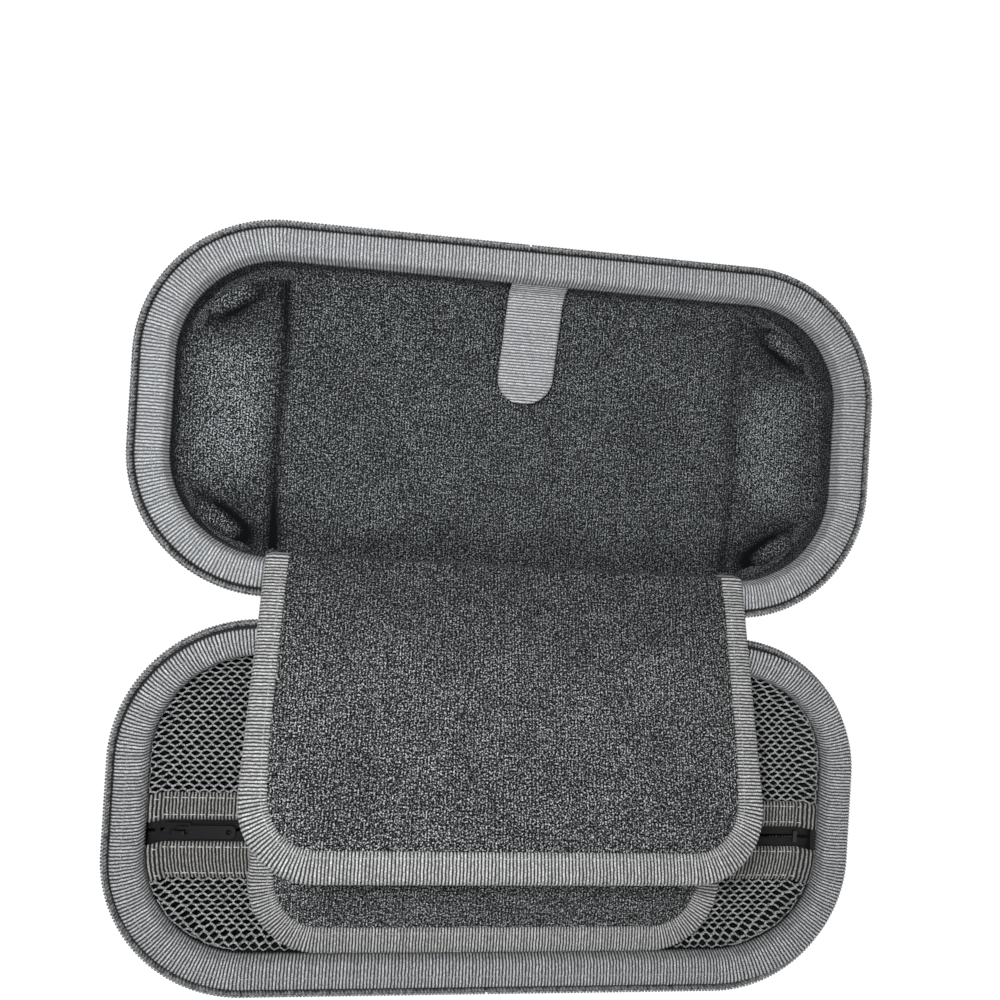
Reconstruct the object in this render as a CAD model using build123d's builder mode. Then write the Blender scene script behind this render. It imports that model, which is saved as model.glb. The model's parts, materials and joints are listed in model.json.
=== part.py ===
"""Portable game console case, open flat: a base tray with a net pocket and a lid with a moulded bed.

Millimetres. X runs along the hinge, -Y to the base, +Y to the lid, +Z up. The origin is on the
floor under the middle of the hinge, and both halves lie on their backs with their rims up.
"""
import os
from math import atan, cos, degrees, hypot, radians, sin, tan

from build123d import *

os.makedirs("parts", exist_ok=True)

BASE = -1
LID = 1

# Overall sizes of one half, measured over the zip coil
case_length = 260.0
half_width = 126.6
corner_radius = 48.0
half_depth = 25.0
hinge_gap = 7.3
hinge_axis_rise = 0.3

# Shell and lining
wall_draft = 5.0
shell_wall = 5.0
shell_floor = 5.0
shell_edge_radius = 11.0
cavity_edge_radius = 6.0
lining_wall = 2.4
lid_bed_thickness = 2.0
base_bed_thickness = 1.5
bed_edge_radius = 4.0

# Rim: zip coil, zip tape and grosgrain binding
coil_width = 2.4
coil_height = 2.2
coil_drop = 0.4
coil_edge_radius = 0.6
tape_width = 5.2
tape_thickness = 0.6
binding_thickness = 0.8
binding_overhang = 0.2
coil_to_shell = 1.2
binding_leg_depth = 5.2
binding_leg_slope = 1.6
binding_fold_radius = 1.5

# Hinge strip and the ends of the main zip
hinge_strip_length = 132.0
hinge_strip_lap = 4.0
strip_to_stop = 1.8
stop_length = 2.2
stop_overlap = 0.5

# Lid bed and lift tab
crease_from_end = 46.0
crease_radius = 3.0
crease_depth = 0.9
ridge_from_end = 28.0
ridge_from_side = 26.3
ridge_length = 16.0
ridge_width = 5.0
ridge_height = 0.9
ridge_angle = 30.0
tab_width = 20.0
tab_thickness = 1.2
tab_x = 5.0
tab_reach = 41.0
tab_root_gap = 0.3
tab_float = 4.0
tab_bend_run = 3.0
tab_bend_radius = 6.0
tab_end_fall = 1.5
tab_end_radius = 9.5

# Pages
page_from_end = 47.0
page_corner_radius = 25.0
page_foam = 3.4
page_edge = 2.6
page_over_binding = 3.6
page_binding_width = 9.0
page_binding_skin = 0.5
page_root_length = 7.0
page_root_thickness = 1.2
upper_seam_rise = 0.5
lower_seam_gap = 0.3
upper_page_end_gap = 2.2
upper_page_tilt = 21.0
lower_page_end_gap = 0.65
lower_page_drop = 4.0

# Net pocket and its zip
mesh_drop = 11.4
mesh_thickness = 0.8
mesh_clearance = 0.2
mesh_cell_length = 8.0
mesh_cell_width = 3.2
mesh_pitch_x = 11.0
mesh_pitch_y = 7.2
mesh_margin = 4.0
pocket_zip_offset = 11.05
pocket_slit = 1.0
pocket_tape_show = 3.4
pocket_tape_lap = 3.0
pocket_band_rear_width = 9.0
pocket_band_front_width = 12.0
pocket_band_thickness = 0.8
pocket_coil_width = 1.6
pocket_coil_height = 1.2
pocket_zip_end_gap = 3.0
pocket_stop_length = 1.6

# Zip sliders and pulls
slider_length = 9.0
slider_width = 5.6
slider_plate = 0.8
slider_clearance = 0.3
slider_neck = 0.5
slider_neck_length = 4.0
slider_corner = 1.4
bail_length = 5.0
bail_width = 1.2
bail_hole_length = 2.6
bail_hole_height = 1.4
bail_bar = 0.7
slider_stop_gap = 1.5
pull_length = 19.0
pull_width = 4.5
pull_thickness = 0.9
pull_bar_radius = 0.4
pull_arm_width = 0.9
pull_arm_gap = 0.25
pull_tongue_start = 3.6
pull_hole_radius = 0.9
pull_end_radius = 1.6

# Worked out from the sizes above
half_centre = hinge_gap / 2 + half_width / 2
shell_inset = coil_width + coil_to_shell
cavity_inset = shell_inset + shell_wall
lining_inset = cavity_inset + lining_wall
shell_rim = half_depth - binding_thickness - tape_thickness
coil_floor = half_depth - coil_drop - coil_height
binding_outer = shell_inset - binding_overhang
binding_lean = binding_leg_slope / binding_leg_depth
binding_crest = lining_inset + binding_thickness - (half_depth - shell_rim) * binding_lean
binding_inner = binding_crest + binding_leg_slope
mesh_z = half_depth - mesh_drop
pocket_tape_top = mesh_z + tape_thickness
pocket_band_z = mesh_z + mesh_thickness
bail_height = bail_hole_height + bail_bar
pull_pivot_height = bail_hole_height / 2
hinge_axis_z = half_depth + hinge_axis_rise
slider_grip = tape_thickness + pocket_coil_height + 2 * slider_clearance
zip_end_x = hinge_strip_length / 2 + strip_to_stop + stop_length
main_slider_x = zip_end_x + slider_stop_gap + slider_length / 2
crease_x = case_length / 2 - crease_from_end
ridge_x = case_length / 2 - ridge_from_end
ridge_y = half_width / 2 - ridge_from_side
page_width = case_length - 2 * page_from_end
seam_y = hinge_gap / 2 + binding_inner
lower_seam_y = -seam_y - lower_seam_gap
upper_page_length = half_width - 2 * binding_inner - upper_page_end_gap
lower_page_length = half_width - 2 * binding_inner - lower_seam_gap - lower_page_end_gap
pocket_zip_y = -half_centre - pocket_zip_offset


def wall_inset(inset, z):
    """Inset of a drafted wall at height z, from its inset at the shell's rim."""
    return inset + (shell_rim - z) * tan(radians(wall_draft))


pocket_zip_length = case_length - 2 * (wall_inset(lining_inset, mesh_z) + pocket_zip_end_gap)
pocket_slider_x = pocket_stop_length + slider_stop_gap + slider_length / 2 - pocket_zip_length / 2


def half_plan(side, inset, mode=Mode.ADD):
    """Rounded plan of one half, drawn inset from the zip coil's outer edge."""
    with Locations((0, side * half_centre)):
        RectangleRounded(case_length - 2 * inset, half_width - 2 * inset, corner_radius - inset, mode=mode)


def hinge_cut(side, half_length):
    """Opens a ring's sketch along the hinge, where the zip stops short."""
    with Locations((0, side * half_centre / 2)):
        Rectangle(2 * half_length, half_centre, mode=Mode.SUBTRACT)


def floor_edges(tray):
    """Edges round the inside floor of a tray."""
    return tray.faces().filter_by(Axis.Z).sort_by(Axis.Z)[1].edges()


def save(piece, name):
    piece.part.label = name
    export_step(piece.part, f"parts/{name}.step")


def make_shell(side, name):
    """Moulded tray with drafted walls and a round bottom edge."""
    with BuildPart() as shell:
        with BuildSketch(Plane.XY.offset(shell_rim)):
            half_plan(side, shell_inset)
        extrude(amount=-shell_rim, taper=wall_draft)
        fillet(shell.faces().sort_by(Axis.Z)[0].edges(), shell_edge_radius)
        with BuildSketch(Plane.XY.offset(shell_rim)):
            half_plan(side, cavity_inset)
        extrude(amount=shell_floor - shell_rim, taper=wall_draft, mode=Mode.SUBTRACT)
        fillet(floor_edges(shell), cavity_edge_radius)
    save(shell, name)


def make_lining(side, name, bed_thickness, with_bed_marks):
    """Knit lining that fills the shell's cavity, with the lid's moulded creases and corner ridges."""
    bed_z = shell_floor + bed_thickness
    with BuildPart() as lining:
        with BuildSketch(Plane.XY.offset(shell_rim)):
            half_plan(side, cavity_inset)
        extrude(amount=shell_floor - shell_rim, taper=wall_draft)
        fillet(lining.faces().sort_by(Axis.Z)[0].edges(), cavity_edge_radius)
        with BuildSketch(Plane.XY.offset(shell_rim)):
            half_plan(side, lining_inset)
        extrude(amount=bed_z - shell_rim, taper=wall_draft, mode=Mode.SUBTRACT)
        fillet(floor_edges(lining), bed_edge_radius)
        if with_bed_marks:
            crease_length = half_width - 2 * (wall_inset(lining_inset, bed_z) + bed_edge_radius)
            crease_z = bed_z + crease_radius - crease_depth
            for x in (-crease_x, crease_x):
                with Locations((x, side * half_centre, crease_z)):
                    Cylinder(crease_radius, crease_length, rotation=(90, 0, 0), mode=Mode.SUBTRACT)
            with BuildSketch(Plane.XY.offset(bed_z)):
                for x in (-1, 1):
                    for y in (-1, 1):
                        with Locations((x * ridge_x, side * half_centre + y * ridge_y)):
                            SlotOverall(ridge_length, ridge_width, rotation=-x * y * ridge_angle)
            extrude(amount=ridge_height)
    save(lining, name)


def make_binding(side, name):
    """Grosgrain tape: flat on the rim, then folded over the inner edge and down the lining."""
    leg_angle = degrees(atan(binding_lean))
    with BuildPart() as binding:
        with BuildSketch(Plane.XY.offset(half_depth)):
            half_plan(side, binding_crest - binding_thickness)
        extrude(amount=-binding_leg_depth, taper=leg_angle)
        with BuildSketch(Plane.XY.offset(half_depth)):
            half_plan(side, binding_outer)
        extrude(amount=-binding_thickness)
        with BuildSketch(Plane.XY.offset(half_depth)):
            half_plan(side, binding_crest)
        extrude(amount=-binding_leg_depth, taper=leg_angle, mode=Mode.SUBTRACT)
        crest = binding.faces().sort_by(Axis.Z)[-1].inner_wires()[0].edges()
        fillet(crest, binding_fold_radius)
    save(binding, name)


def make_zip_side(side, half):
    """This half's zip: tape sewn under the binding, coil on its outer edge, a stop at each end."""
    with BuildPart() as tape:
        with BuildSketch(Plane.XY.offset(shell_rim)):
            half_plan(side, coil_width)
            half_plan(side, coil_width + tape_width, mode=Mode.SUBTRACT)
            hinge_cut(side, zip_end_x)
        extrude(amount=tape_thickness)
    save(tape, f"{half}_zip_tape")

    with BuildPart() as coil:
        with BuildSketch(Plane.XY.offset(coil_floor)):
            half_plan(side, 0)
            half_plan(side, coil_width, mode=Mode.SUBTRACT)
            hinge_cut(side, zip_end_x)
        extrude(amount=coil_height)
        fillet(coil.faces().filter_by(Axis.Z).edges(), coil_edge_radius)
    save(coil, f"{half}_zip_coil")

    stop_width = coil_width + stop_overlap
    stop_y = side * (hinge_gap + stop_width) / 2
    with BuildPart() as stops:
        with BuildSketch(Plane.XY.offset(coil_floor)):
            for end in (-1, 1):
                with Locations((end * (zip_end_x - stop_length / 2), stop_y)):
                    Rectangle(stop_length, stop_width)
        extrude(amount=coil_height)
        fillet(stops.edges().filter_by(Axis.Z), coil_edge_radius)
    save(stops, f"{half}_zip_stops")


def make_hinge_strip():
    """Woven strip under both bindings, flat across the gap between the halves."""
    strip_width = hinge_gap + 2 * (shell_inset + hinge_strip_lap)
    with BuildPart() as strip:
        with BuildSketch(Plane.XY.offset(shell_rim)):
            Rectangle(hinge_strip_length, strip_width)
        extrude(amount=tape_thickness)
    save(strip, "hinge_strip")


def make_lift_tab():
    """Elastic tape that hangs from the lid's front binding and reaches out over the bed."""
    root_z = half_depth - binding_leg_depth - tab_root_gap
    root_inset = wall_inset(lining_inset, root_z) + tab_root_gap + tab_thickness / 2
    root_y = half_centre + half_width / 2 - root_inset
    end_z = shell_floor + lid_bed_thickness + tab_float
    with BuildPart() as tab:
        with BuildSketch(Plane.YZ.offset(tab_x)):
            with BuildLine():
                FilletPolyline(
                    (root_y, root_z),
                    (root_y - tab_bend_run, end_z + tab_end_fall),
                    (root_y - tab_reach, end_z),
                    radius=tab_bend_radius,
                )
            trace(line_width=tab_thickness)
        extrude(amount=tab_width / 2, both=True)
        end_corners = tab.faces().sort_by(Axis.Y)[0].edges().filter_by(Axis.X, reverse=True)
        fillet(end_corners, tab_end_radius)
    save(tab, "lift_tab")


def page_outline(length, inset):
    """Page's plan past its root, inset from its bound edge, in the page's own plane."""
    with Locations((0, page_root_length)):
        width = page_width - 2 * inset
        reach = length - page_root_length - inset
        Rectangle(width, reach, align=(Align.CENTER, Align.MIN))


def make_page(name, pivot_y, pivot_z, tilt, length):
    """Padded page on a thin sewn root, with tape bound round its two sides and its free edge."""
    upright = (0, sin(radians(tilt)), cos(radians(tilt)))
    leaf = Plane(origin=(0, pivot_y, pivot_z), x_dir=(-1, 0, 0), z_dir=upright)

    with BuildPart() as panel:
        with BuildSketch(leaf):
            Rectangle(page_width - 2 * page_binding_skin, page_root_length, align=(Align.CENTER, Align.MIN))
        extrude(amount=page_root_thickness / 2, both=True)
        for inset, thickness in ((page_binding_skin, page_edge), (page_binding_width, page_foam)):
            with BuildSketch(leaf) as layer:
                page_outline(length, inset)
                fillet(layer.vertices().group_by(Axis.Y)[-1], page_corner_radius - inset)
            extrude(amount=thickness / 2, both=True)
    save(panel, f"{name}_panel")

    with BuildPart() as binding:
        with BuildSketch(leaf) as wrap:
            page_outline(length, 0)
            fillet(wrap.vertices().group_by(Axis.Y)[-1], page_corner_radius)
        extrude(amount=page_over_binding / 2, both=True)
        cuts = ((page_binding_skin, page_edge), (page_binding_width, page_over_binding))
        for inset, thickness in cuts:
            with BuildSketch(leaf) as cut:
                page_outline(length, inset)
                fillet(cut.vertices().group_by(Axis.Y)[-1], page_corner_radius - inset)
            extrude(amount=thickness / 2, both=True, mode=Mode.SUBTRACT)
    save(binding, f"{name}_binding")


def inside_half(x, y, inset):
    """Whether a point of the base's plan lies within the rounded plan drawn at that inset."""
    radius = corner_radius - inset
    beyond_x = max(abs(x) - (case_length / 2 - corner_radius), 0)
    beyond_y = max(abs(y + half_centre) - (half_width / 2 - corner_radius), 0)
    return hypot(beyond_x, beyond_y) <= radius


def make_mesh(name, y_low, y_high, net_low, net_high):
    """Net panel from y_low to y_high, with staggered cells where no band covers it."""
    edge_inset = wall_inset(lining_inset, mesh_z) + mesh_clearance
    cell_inset = edge_inset + mesh_margin + mesh_cell_length / 2
    rows = int((net_high - net_low) / mesh_pitch_y) + 1
    columns = int(case_length / mesh_pitch_x)
    cells = []
    for row in range(rows):
        y = net_low + row * mesh_pitch_y
        for column in range(-columns, columns + 1):
            x = (column + row % 2 / 2) * mesh_pitch_x
            if inside_half(x, y, cell_inset):
                cells.append((x, y))
    end = mesh_cell_length / 2
    shoulder = mesh_cell_length / 4
    side = mesh_cell_width / 2
    with BuildPart() as mesh:
        with BuildSketch(Plane.XY.offset(mesh_z)):
            half_plan(BASE, edge_inset)
            with Locations((0, (y_low + y_high) / 2)):
                Rectangle(case_length, y_high - y_low, mode=Mode.INTERSECT)
            with Locations(cells):
                Polygon(
                    (end, 0),
                    (shoulder, side),
                    (-shoulder, side),
                    (-end, 0),
                    (-shoulder, -side),
                    (shoulder, -side),
                    align=None,
                    mode=Mode.SUBTRACT,
                )
        extrude(amount=mesh_thickness)
    save(mesh, name)


def make_pocket_strip(name, z, thickness, y_low, y_high, length):
    """Straight strip along the pocket zip, trimmed to the tray's walls."""
    with BuildPart() as strip:
        with BuildSketch(Plane.XY.offset(z)):
            half_plan(BASE, wall_inset(lining_inset, z) + mesh_clearance)
            with Locations((0, (y_low + y_high) / 2)):
                Rectangle(length, y_high - y_low, mode=Mode.INTERSECT)
        extrude(amount=thickness)
    save(strip, name)


def make_pocket():
    """Net panels, bands, tapes and coils either side of the pocket zip, and its end stops."""
    base_near = -half_centre + half_width / 2
    base_far = -half_centre - half_width / 2
    tape_width_all = pocket_tape_show + pocket_tape_lap
    sides = (("rear", 1, pocket_band_rear_width), ("front", -1, pocket_band_front_width))
    for name, away, band_width in sides:
        coil_edge = pocket_zip_y + away * pocket_slit / 2
        coil_back = coil_edge + away * pocket_coil_width
        tape_back = coil_edge + away * tape_width_all
        band_edge = coil_edge + away * pocket_tape_show
        band_back = band_edge + away * band_width
        mesh_edge = tape_back + away * mesh_clearance
        mesh_back = base_near if away > 0 else base_far
        net_edge = band_back + away * mesh_margin
        net_back = mesh_back - away * (lining_inset + mesh_margin)
        make_pocket_strip(
            f"pocket_zip_coil_{name}",
            mesh_z - pocket_coil_height,
            pocket_coil_height,
            min(coil_edge, coil_back),
            max(coil_edge, coil_back),
            pocket_zip_length,
        )
        make_pocket_strip(
            f"pocket_zip_tape_{name}",
            mesh_z,
            tape_thickness,
            min(coil_edge, tape_back),
            max(coil_edge, tape_back),
            pocket_zip_length,
        )
        make_pocket_strip(
            f"pocket_band_{name}",
            pocket_band_z,
            pocket_band_thickness,
            min(band_edge, band_back),
            max(band_edge, band_back),
            case_length,
        )
        make_mesh(
            f"pocket_mesh_{name}",
            min(mesh_edge, mesh_back),
            max(mesh_edge, mesh_back),
            min(net_edge, net_back),
            max(net_edge, net_back),
        )
    stop_x = (pocket_zip_length - pocket_stop_length) / 2
    with BuildPart() as stops:
        with BuildSketch(Plane.XY.offset(pocket_tape_top)):
            with Locations((-stop_x, pocket_zip_y), (stop_x, pocket_zip_y)):
                Rectangle(pocket_stop_length, pocket_slit + 2 * pocket_coil_width)
        extrude(amount=pocket_band_thickness)
    save(stops, "pocket_zip_stops")


def make_slider(name, centre, facing):
    """Zip slider: two plates round the coils, a neck between them and a bail on the pull's side."""
    flat = Plane(origin=centre, x_dir=(1, 0, 0), z_dir=(0, 0, facing))
    upright = Plane(origin=centre, x_dir=(1, 0, 0), z_dir=(0, -facing, 0))
    plate_face = slider_grip / 2 + slider_plate
    with BuildPart() as slider:
        for plate_z in (slider_grip / 2, -plate_face):
            with BuildSketch(flat.offset(plate_z)):
                RectangleRounded(slider_length, slider_width, slider_corner)
            extrude(amount=slider_plate)
        with BuildSketch(flat):
            Rectangle(slider_neck_length, slider_neck)
        extrude(amount=slider_grip / 2, both=True)
        with BuildSketch(upright) as bail:
            with Locations((0, slider_grip / 2)):
                Rectangle(bail_length, slider_plate + bail_height, align=(Align.CENTER, Align.MIN))
            fillet(bail.vertices().group_by(Axis.Y)[-1], bail_bar)
            with Locations((0, plate_face)):
                Rectangle(
                    bail_hole_length,
                    bail_hole_height,
                    align=(Align.CENTER, Align.MIN),
                    mode=Mode.SUBTRACT,
                )
        extrude(amount=bail_width / 2, both=True)
    save(slider, name)


def make_pull(name, pivot, along, face):
    """Pull with a crossbar through the slider's bail, two arms beside it and a tongue."""
    flat = Plane(origin=pivot, x_dir=along, z_dir=face)
    across = Plane(origin=pivot, x_dir=along, z_dir=flat.y_dir)
    arm_y = bail_width / 2 + pull_arm_gap + pull_arm_width / 2
    arm_end = pull_tongue_start + pull_arm_width
    with BuildPart() as pull:
        with BuildSketch(across):
            Circle(pull_bar_radius)
        extrude(amount=arm_y + pull_arm_width / 2, both=True)
        with BuildSketch(flat):
            with Locations((-pull_bar_radius, -arm_y), (-pull_bar_radius, arm_y)):
                Rectangle(arm_end + pull_bar_radius, pull_arm_width, align=(Align.MIN, Align.CENTER))
        extrude(amount=pull_thickness / 2, both=True)
        with BuildSketch(flat) as tongue:
            with Locations((pull_tongue_start, 0)):
                Rectangle(pull_length - pull_tongue_start, pull_width, align=(Align.MIN, Align.CENTER))
            fillet(tongue.vertices().group_by(Axis.X)[-1], pull_end_radius)
            with Locations((pull_length - pull_width / 2, 0)):
                Circle(pull_hole_radius, mode=Mode.SUBTRACT)
        extrude(amount=pull_thickness / 2, both=True)
    save(pull, name)


for side, half in ((BASE, "base"), (LID, "lid")):
    make_shell(side, f"{half}_shell")
    make_binding(side, f"{half}_binding")
    make_zip_side(side, half)
make_lining(BASE, "base_lining", base_bed_thickness, with_bed_marks=False)
make_lining(LID, "lid_lining", lid_bed_thickness, with_bed_marks=True)
make_hinge_strip()
make_lift_tab()

make_page("upper_page", seam_y, half_depth + upper_seam_rise, upper_page_tilt, upper_page_length)
make_page("lower_page", lower_seam_y, half_depth - lower_page_drop, 0, lower_page_length)

make_pocket()
pocket_slider_z = pocket_tape_top + slider_clearance - slider_grip / 2
pull_rise = slider_grip / 2 + slider_plate + pull_pivot_height
make_slider("pocket_zip_slider", (pocket_slider_x, pocket_zip_y, pocket_slider_z), 1)
pocket_pivot = (pocket_slider_x, pocket_zip_y, pocket_slider_z + pull_rise)
make_pull("pocket_zip_pull", pocket_pivot, (1, 0, 0), (0, 0, 1))
for end, x in (("left", -main_slider_x), ("right", main_slider_x)):
    make_slider(f"zip_slider_{end}", (x, 0, hinge_axis_z), -1)
    make_pull(f"zip_pull_{end}", (x, 0, hinge_axis_z - pull_rise), (0, 0, -1), (1, 0, 0))
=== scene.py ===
"""Looks of the open console case: its tapes, knit, net and zips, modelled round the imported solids.

Shapes are worked in millimetres and scaled to metres as each piece is finished. X runs along the
hinge, -Y to the base, +Y to the lid, +Z up, with the floor at Z = 0.
"""
import json
import math

import bmesh
import bpy
from mathutils import Matrix, Vector
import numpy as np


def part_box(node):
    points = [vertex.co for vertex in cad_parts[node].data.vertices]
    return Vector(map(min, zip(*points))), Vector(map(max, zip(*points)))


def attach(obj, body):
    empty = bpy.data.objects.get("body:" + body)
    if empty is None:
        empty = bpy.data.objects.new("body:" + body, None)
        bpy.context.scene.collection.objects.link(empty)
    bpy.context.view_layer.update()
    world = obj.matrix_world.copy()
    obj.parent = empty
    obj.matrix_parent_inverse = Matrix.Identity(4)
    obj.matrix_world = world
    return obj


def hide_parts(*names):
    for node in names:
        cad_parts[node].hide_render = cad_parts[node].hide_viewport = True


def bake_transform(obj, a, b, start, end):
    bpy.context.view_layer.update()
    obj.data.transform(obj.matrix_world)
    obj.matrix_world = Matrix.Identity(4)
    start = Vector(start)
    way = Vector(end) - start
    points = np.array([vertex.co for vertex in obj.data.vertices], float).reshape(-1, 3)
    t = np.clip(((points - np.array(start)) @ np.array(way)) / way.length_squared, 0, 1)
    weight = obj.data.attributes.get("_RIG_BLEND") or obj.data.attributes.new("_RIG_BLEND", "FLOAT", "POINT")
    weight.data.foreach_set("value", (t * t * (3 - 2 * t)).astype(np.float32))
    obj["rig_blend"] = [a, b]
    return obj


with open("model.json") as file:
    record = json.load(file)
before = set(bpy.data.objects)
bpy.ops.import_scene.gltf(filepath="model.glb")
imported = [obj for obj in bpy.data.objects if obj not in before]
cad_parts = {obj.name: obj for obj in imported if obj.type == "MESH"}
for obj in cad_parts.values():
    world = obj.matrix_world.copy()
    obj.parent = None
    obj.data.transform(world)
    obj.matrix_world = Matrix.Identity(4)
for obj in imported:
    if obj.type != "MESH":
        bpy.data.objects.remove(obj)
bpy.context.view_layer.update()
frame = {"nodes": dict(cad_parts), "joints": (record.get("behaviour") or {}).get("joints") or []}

MM = 0.001
ZERO = Vector((0, 0, 0))
UP = Vector((0, 0, 1))

# Plan of one half, over the zip coil
corner_radius = 48.0
wall_draft = math.radians(5.0)

# Rim: sections are pairs of inset from the coil's outer edge and height over the rim
rib_pitch = 1.15
rings_per_rib = 4
rib_relief = 0.10
selvedge_relief = 0.22
lid_binding_section = (
    (3.55, -0.75), (3.25, -0.42), (3.60, -0.12), (4.80, 0.05), (6.60, 0.12), (8.60, 0.12),
    (10.20, 0.05), (11.15, -0.18), (11.80, -0.70), (12.15, -1.70), (12.45, -3.20), (12.75, -4.60),
    (12.95, -5.45), (12.60, -5.40), (11.40, -1.90), (10.60, -0.95), (7.00, -0.82),
)
base_binding_section = (
    (3.55, -0.75), (3.25, -0.42), (3.60, -0.12), (4.60, 0.06), (5.80, 0.08), (7.00, 0.02),
    (8.40, -0.12), (9.60, -0.32), (10.70, -0.62), (11.60, -1.05), (12.15, -2.10), (12.60, -3.80),
    (12.95, -5.45), (12.60, -5.40), (11.60, -2.00), (10.60, -1.15), (7.00, -0.85),
)
binding_edges = (1, 12)
binding_hidden = (0, 13, 14, 15, 16)
rim_stitch_row = 5
binding_middle = 8.0
base_lean = 2.9
lean_corner_share = 0.7
lean_foot = 4.0
lean_top = 8.0
tape_section = (
    (7.40, -0.82), (3.00, -0.85), (2.55, -1.10), (2.30, -1.80), (2.00, -2.45), (0.60, -2.52),
    (0.50, -2.72), (2.20, -2.70), (2.75, -1.60), (3.00, -1.30), (7.40, -1.30),
)
tape_ring = 2.0
coil_inset = 1.2
coil_pitch = 1.17
coil_radius = 0.86
coil_wire = 0.34
coil_wire_stretch = 1.35
coil_flatness = 0.86
coil_steps = 8
wire_sides = 5
core_radius = 0.45

# Thread stitches: length, width and height of one, and their spacing
stitch_size = (2.5, 0.36, 0.24)
stitch_pitch = 3.0
chain_size = (1.9, 0.5, 0.35)
chain_pitch = 2.34

# Linings, by inset at the rim and by height
lining_inset = 11.0
lining_outer_inset = 8.7
lining_lip_drop = 2.0
lining_cell = 1.15
lining_ring_inset = 20.0
base_bed = 1.5
lid_bed = 2.0
bed_edge_radius = 4.0
bed_edge_steps = 5
wall_rows = 7
crease_width = 2.2
crease_depth = 1.6
crease_from_end = 46.0
right_share = 0.55
ridge_from_end = 27.0
ridge_from_side = 24.5
ridge_half_length = 8.0
ridge_half_width = 2.8
ridge_height = 1.3
ridge_moat = 0.9
ridge_recess = 16.0
ridge_angle = math.radians(34.0)
moat_reach = 1.5
moat_width = 0.6
recess_depth = 0.4
crease_wander = 0.6
crease_wander_run = 11.0
swell_height = 0.6
swell_right_share = 0.8
swell_from_crease = (2.0, 12.0)
swell_from_end = (24.0, 14.0)
swell_from_middle = (14.0, 34.0)
bed_wave = 0.3
bed_wave_runs = (19.0, 23.0)
bed_wave_turn = 0.6
marks_fade = (0.5, 5.0)

# Painted shade on the bed's knit from each of its marks: darker in the creases, moats and recesses,
# along the foot of the hinge-side wall and up the end walls; painted light, paler knit, on the ridges and
# swells
crease_shade = 0.8
moat_shade = 0.35
recess_shade = 0.75
ridge_highlight = 0.4
swell_highlight = 1.35
foot_shade = 0.25
foot_run = (16.0, 34.0)
end_wall_shade = 0.5
end_wall_run = 30.0

# Pages
page_tilt = math.radians(21.0)
page_corner = 25.0
page_skin = 0.6
page_tail = 6.0
page_bend = 1.5
page_edge_half = 1.2
page_foam_half = 1.75
page_root_half = 0.6
page_root_share = 0.5
page_fold = 3.0
page_root_run = (1.0, 12.0)
page_foam_run = (7.8, 14.0)
page_crown = 0.3
page_hill = 0.45
page_hill_runs = (27.0, 31.0)
page_hill_turn = 0.8
page_bow = 0.35
page_bow_run = 46.0
page_swell_start = (5.0, 40.0)
# Painted shade on the pages' knit near the seam, and the run over which it fades
page_root_shade = 0.4
page_root_shade_run = (6.0, 46.0)
page_cell = 1.4
page_binding_section = (
    (9.15, 1.30), (8.95, 1.62), (7.80, 1.82), (5.60, 1.90), (3.20, 1.86), (1.50, 1.62), (0.45, 1.05),
    (0.00, 0.00), (0.45, -1.05), (1.50, -1.62), (3.20, -1.86), (5.60, -1.90), (7.80, -1.82),
    (8.95, -1.62), (9.15, -1.30), (8.60, -1.24), (1.60, -1.20), (0.90, 0.00), (1.60, 1.20), (8.60, 1.24),
)
page_binding_edges = (0, 14)
page_binding_hidden = (15, 16, 17, 18, 19)
page_rib_pitch = 1.08
page_stitch_inset = 7.3
page_stitch_stop = 2.0
page_tape_middle = 5.0
page_side_shift = 1.5
page_shift_run = (1.0, 8.0)
page_shift_end = (45.0, 15.0)
page_stitch_rise = 1.80

# Net pocket
net_pitch_x = 3.4
net_pitch_y = 3.4
net_corner_x = 1.7
net_corner_y = 0.4
net_tip_y = 1.3
net_strand = 0.30
net_crest = 0.22
net_thickness = 0.3
net_inset = 12.4
net_margin = 0.6
net_overlap = 2.0
net_sag = 0.35
net_sag_runs = (17.0, 13.0)
net_wobble = (0.16, 0.14)
net_weld = 0.02
pocket_flat_inset = 18.5
pocket_lift = 3.6
pocket_tape_lift = 1.2
band_pitch = 1.15
band_stitch_edge = 1.6
band_stitch_rise = 0.06
band_rows = 8
band_edge_drop = 0.25
band_edge_run = 1.0
band_relief = 0.09
band_selvedge = 0.18
pocket_tape_cells = (120, 12)
pocket_tape_edge = 0.15
pocket_tape_edge_run = 0.8
pocket_tape_under = 0.1
pocket_coil_pitch = 1.2
pocket_coil_radius = 0.55
pocket_coil_wire = 0.22

# Lift tab and hinge strip
tab_bend_radius = 6.0
tab_end_radius = 9.5
tab_rib_pitch = 1.05
tab_thickness = 1.2
tab_bend_run = 3.0
tab_bend_rise = 1.5
tab_lean = 0.066
tab_columns = 22
tab_edge_share = 0.55
tab_edge_run = 1.2
tab_relief = 0.05
strip_cells = (90, 30)

# Pitches of the finishes' threads in millimetres, and specks of their grain a millimetre. Those of the
# real cloths are finer than the render shows, so they are drawn as coarse as they need to show
warp_pitch = 0.8
zip_weave = 0.8
strip_weave = 1.0
shell_weave = 0.9
knit_wale = 1.15
tape_fuzz = 1.4
knit_fuzz = 2.0
knit_spark = 1.25
knit_drift = 0.12
knit_cloud = 0.05
nylon_grain = 0.7
yarn_streak = 1.9
zinc_grain = 0.9
thread_ply = 2.5

# Light, in metres and watts
lamp_target = (0, 0, 0.02)
key_place = (-0.095, 0.085, 0.36)
key_size = 0.05
key_power = 0.92
fill_place = (0.30, -0.42, 0.80)
fill_size = 0.90
fill_power = 2.0
surround_light = 0.28
floor_size = 6.0
floor_glow = 1.15
floor_share = 0.85

# Camera, fitted to the photograph's frame of 1000 pixels
frame_pixels = 1000
focal_pixels = 828.0
camera_place = Vector((-41.85, 39.2, 308.03))
camera_turn = Vector((-0.001835, -0.127225, 0.061062))


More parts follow.
